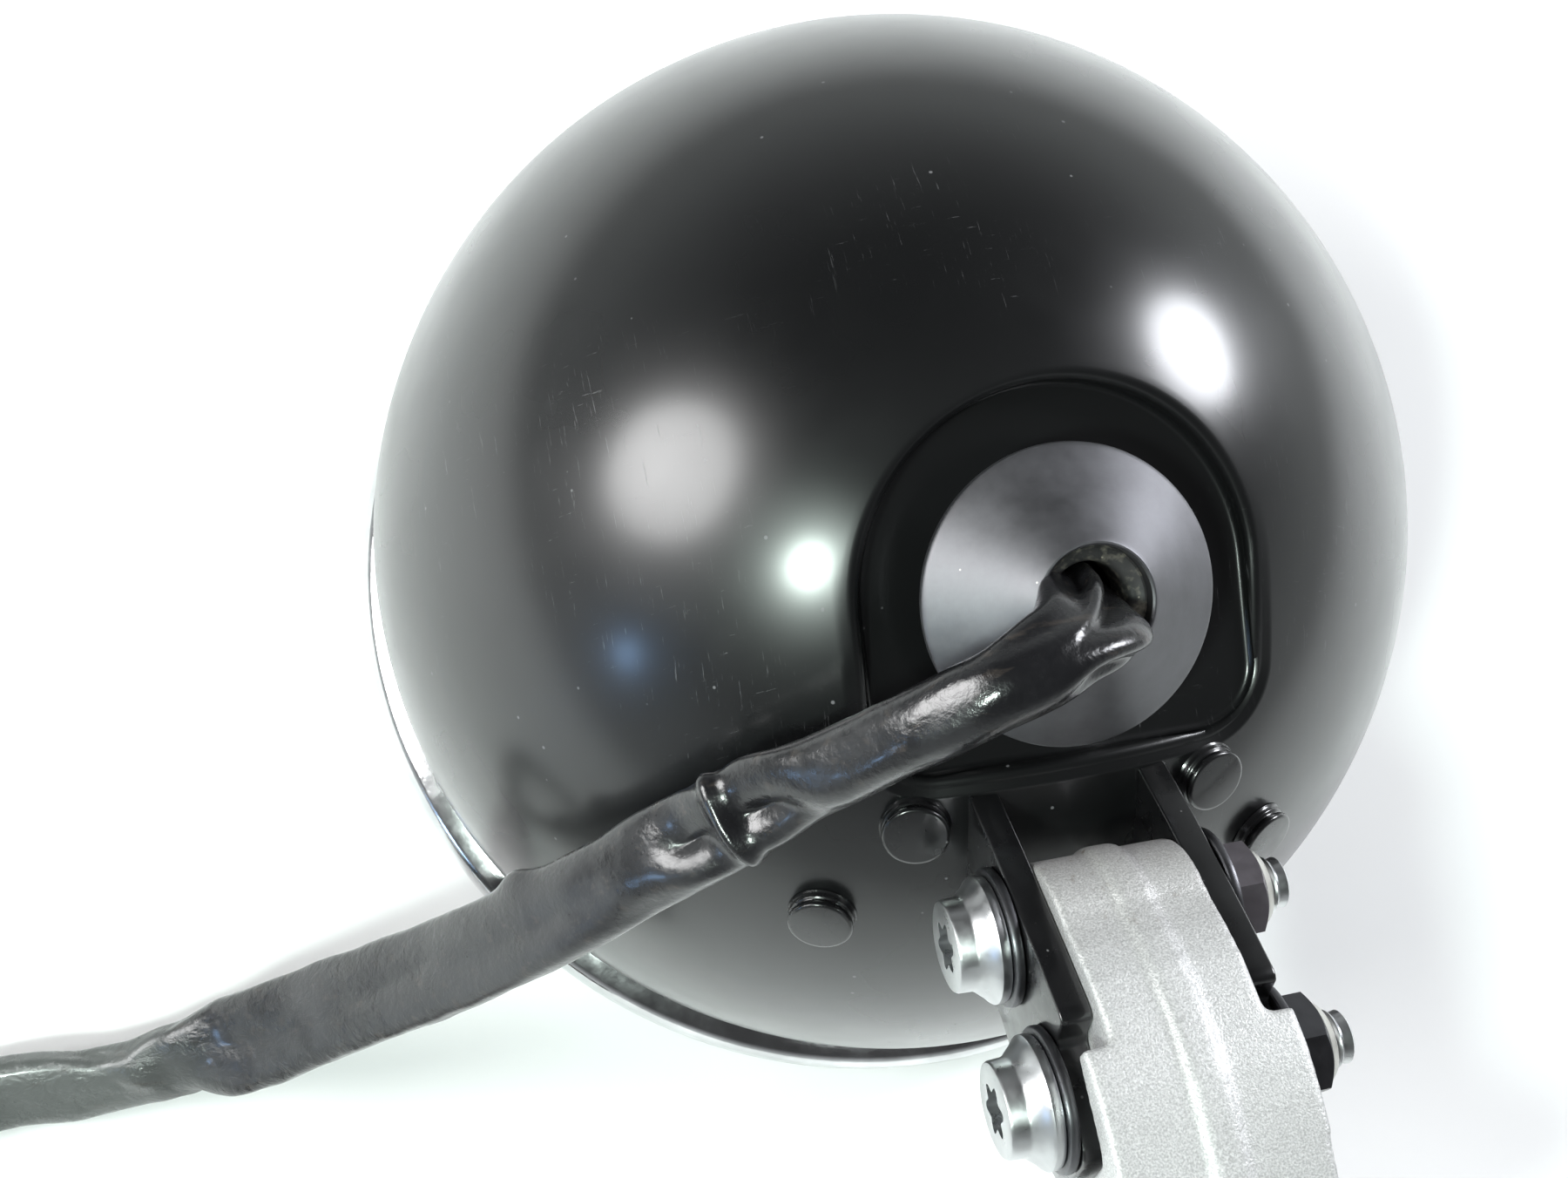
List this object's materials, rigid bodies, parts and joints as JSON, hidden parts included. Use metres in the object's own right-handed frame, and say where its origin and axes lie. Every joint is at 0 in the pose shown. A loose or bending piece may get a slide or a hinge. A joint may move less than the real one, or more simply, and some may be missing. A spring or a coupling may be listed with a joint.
{
  "type": "motorcycle headlamp",
  "caption": "Round lamp with a black domed shell, chrome rim, clear lens, conical cable gland and a cast arm clamped between two cheeks.",
  "frame": {"origin": "centre of the flat land on the front of the trim ring, which the lamp stands on", "axes": "+Z along the lamp axis to the rear, -Y towards the mounting arm (down on the motorcycle), +X along the bolts towards the nuts"},
  "size_m": [0.3251, 0.2805, 0.1562],
  "materials": {
    "gloss_black_paint": "deep gloss black lacquer with fine hairline scratches",
    "black_steel": "semi-gloss black paint",
    "turned_aluminium": "satin grey, turned in fine rings",
    "cast_aluminium": "shot-blasted silver casting",
    "chrome_trim": "polished chrome plate",
    "bright_zinc": "bright zinc plate",
    "grey_zinc": "grey zinc-flake coat",
    "dark_steel": "dark plated steel",
    "black_rubber": "dusty matt rubber",
    "black_sleeve": "soft glossy PVC, creased",
    "black_plastic": "fine grained moulding",
    "red_plastic": "moulded plastic",
    "clear_lens": "clear hard-coated lens",
    "frosted_guide": "frosted light guide",
    "bright_bezel": "metallised moulding",
    "black_heat_sink": "black anodised",
    "board_green": "solder-masked board",
    "led_yellow": "phosphor cover",
    "brass_contact": "tin-brass contact"
  },
  "bodies": {
    "lamp": {"shell": "gloss_black_paint", "bracket_left": "black_steel", "bracket_right": "black_steel", "rivets": "gloss_black_paint", "gland_collar": "black_rubber", "gland_cap": "turned_aluminium", "gland_nut": "bright_zinc", "gland_grommet": "black_rubber", "trim_ring": "chrome_trim", "trim_screw": "bright_zinc", "trim_gasket": "black_rubber", "lens": "clear_lens", "mount_ring": "dark_steel", "unit_screws": "bright_zinc", "lamp_bowl": "black_plastic", "bezel": "bright_bezel", "ring_light": "frosted_guide", "projector_lens": "clear_lens", "projector_barrel": "black_plastic", "led_board": "board_green", "led_chips": "led_yellow", "heat_sink": "black_heat_sink", "driver_box": "black_plastic", "inner_lead": "black_sleeve", "sleeve": "black_sleeve", "plug_boot": "black_rubber", "plug_body": "black_plastic", "plug_terminals": "brass_contact", "plug_lock": "red_plastic"},
    "mount_arm": {"arm": "cast_aluminium", "pivot_bush": "dark_steel", "clamp_bush": "dark_steel", "pivot_bolt": "bright_zinc", "clamp_bolt": "bright_zinc", "bolt_washers": "dark_steel", "nut_washers": "dark_steel", "lock_nuts": "grey_zinc"}
  },
  "joints": [
    {"name": "aim_tilt", "type": "hinge", "parent": "lamp", "child": "mount_arm", "pos_m": [0, -0.0783, 0.11852], "axis": [1, 0, 0], "range_deg": [-4, 4]}
  ]
}
